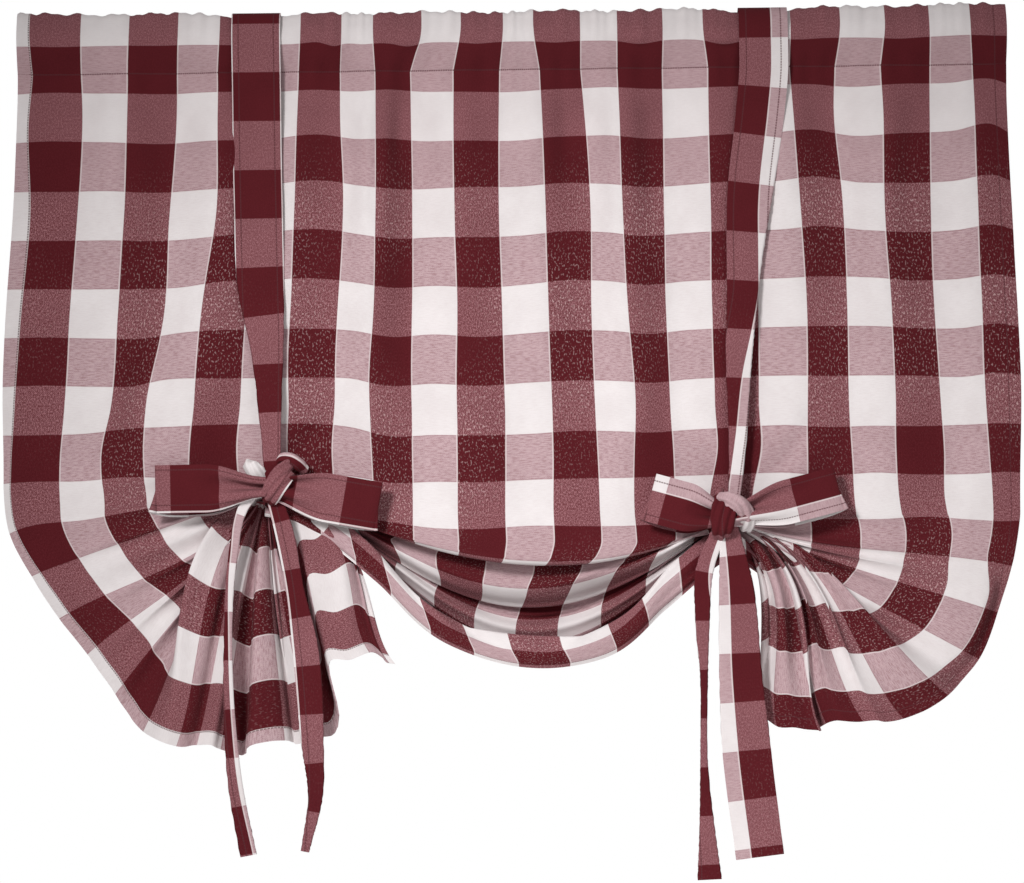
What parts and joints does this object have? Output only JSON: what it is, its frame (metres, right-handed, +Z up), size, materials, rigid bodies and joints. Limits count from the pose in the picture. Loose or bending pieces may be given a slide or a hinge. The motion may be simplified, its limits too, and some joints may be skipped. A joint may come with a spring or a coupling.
{
  "type": "tie-up curtain shade",
  "caption": "Checked cotton panel with a shirred rod pocket, gathered up by sashes tied in bows, so its sides fan out and its middle hangs in a swag.",
  "frame": {"origin": "middle of the rod channel at the top edge, half way along it", "axes": "+X to the right along the rod channel seen from the front, +Y to the window behind, +Z up; the front faces -Y"},
  "size_m": [1.1938, 0.1272, 1.0258],
  "materials": {
    "panel_cloth": "matt woven cotton, burgundy and white check",
    "pocket_cloth": "matt woven cotton, burgundy and white check",
    "sash_cloth": "matt woven cotton, burgundy and white check"
  },
  "bodies": {
    "root": {"panel": "panel_cloth", "rod_pocket": "pocket_cloth", "sash_left": "sash_cloth", "sash_right": "sash_cloth"}
  },
  "joints": []
}
